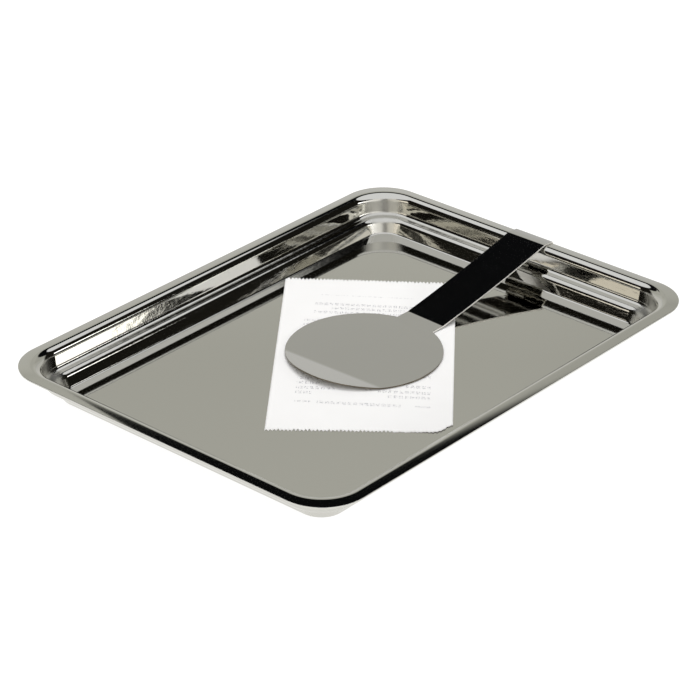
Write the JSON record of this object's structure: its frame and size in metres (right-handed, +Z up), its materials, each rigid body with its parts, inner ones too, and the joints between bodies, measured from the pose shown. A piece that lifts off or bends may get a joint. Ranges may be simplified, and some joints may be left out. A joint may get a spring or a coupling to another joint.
{
  "type": "bill tray with clip",
  "caption": "Shallow drawn-steel bill tray with a flat flange and stepped walls, and a sliding spring clip whose disc holds a paper slip on its floor.",
  "frame": {"origin": "centre of the tray's underside, on the plane it stands on", "axes": "+X along the tray towards the clip's end, +Y to the left of that, +Z up"},
  "size_m": [0.1827, 0.136, 0.0131],
  "materials": {
    "tray_steel": "mirror-polished stainless sheet",
    "clip_steel": "mirror-polished stainless spring strip",
    "slip_paper": "smooth thermal paper with faint grey marks"
  },
  "bodies": {
    "tray": {"tray_shell": "tray_steel"},
    "clip": {"clip_hook": "clip_steel"},
    "blade": {"clip_blade": "clip_steel"},
    "slip": {"receipt_slip": "slip_paper"}
  },
  "joints": [
    {"name": "clip_slide", "type": "slide", "parent": "tray", "child": "clip", "axis": [0, 1, 0], "range_m": [-0.03, 0.025]},
    {"name": "blade_lift", "type": "hinge", "parent": "clip", "child": "blade", "pos_m": [0.0868, -0.0012, 0.01281], "axis": [0, 1, 0], "range_deg": [0, 20], "stiffness_Nm_per_rad": 0.6, "springref_deg": -8.59},
    {"name": "slip_slide", "type": "slide", "parent": "tray", "child": "slip", "axis": [1, 0, 0], "range_m": [-0.024, 0.012]}
  ]
}
